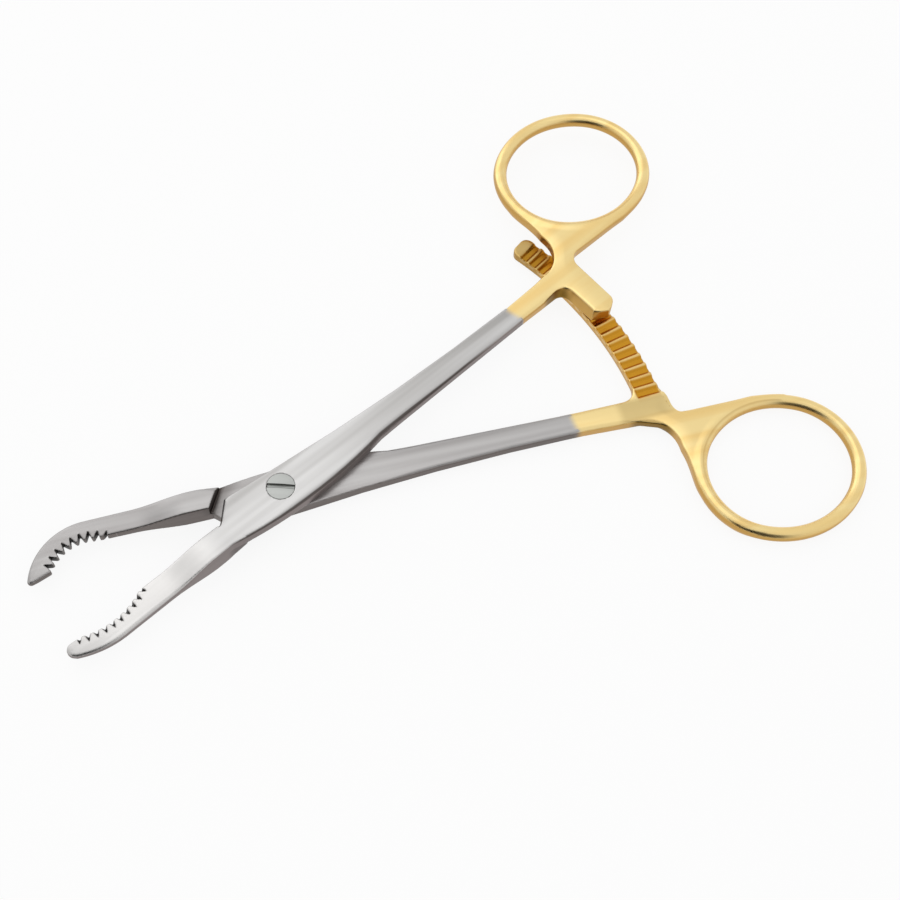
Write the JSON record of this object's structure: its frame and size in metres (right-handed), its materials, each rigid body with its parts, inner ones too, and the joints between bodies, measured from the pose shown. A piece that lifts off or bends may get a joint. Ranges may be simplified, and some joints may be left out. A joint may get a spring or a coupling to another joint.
{
  "type": "bone reduction forceps",
  "caption": "Ratcheting forceps with hooked serrated jaws, a slotted pivot screw, finger rings and a long curved rack that locks the handles.",
  "frame": {"origin": "on the pivot axis, in the flat underside of the lower half that the forceps lies on", "axes": "+X from the pivot to the finger rings along the middle line between the handles, +Y towards the upper half's handle, +Z along the pivot axis towards the screw's slotted head"},
  "size_m": [0.1438, 0.1028, 0.0054],
  "materials": {
    "upper_half_steel": "satin steel, the neck, ring and catch plated in pale gold",
    "lower_half_steel": "satin steel, the neck, ring and rack plated in pale gold",
    "screw_steel": "turned steel"
  },
  "bodies": {
    "lower": {"lower_half": "lower_half_steel", "pivot_screw": "screw_steel"},
    "upper": {"upper_half": "upper_half_steel"}
  },
  "joints": [
    {"name": "pivot", "type": "hinge", "parent": "lower", "child": "upper", "pos_m": [0, 0, 0.0026], "axis": [0, 0, 1], "range_deg": [-14.5, 18]}
  ]
}
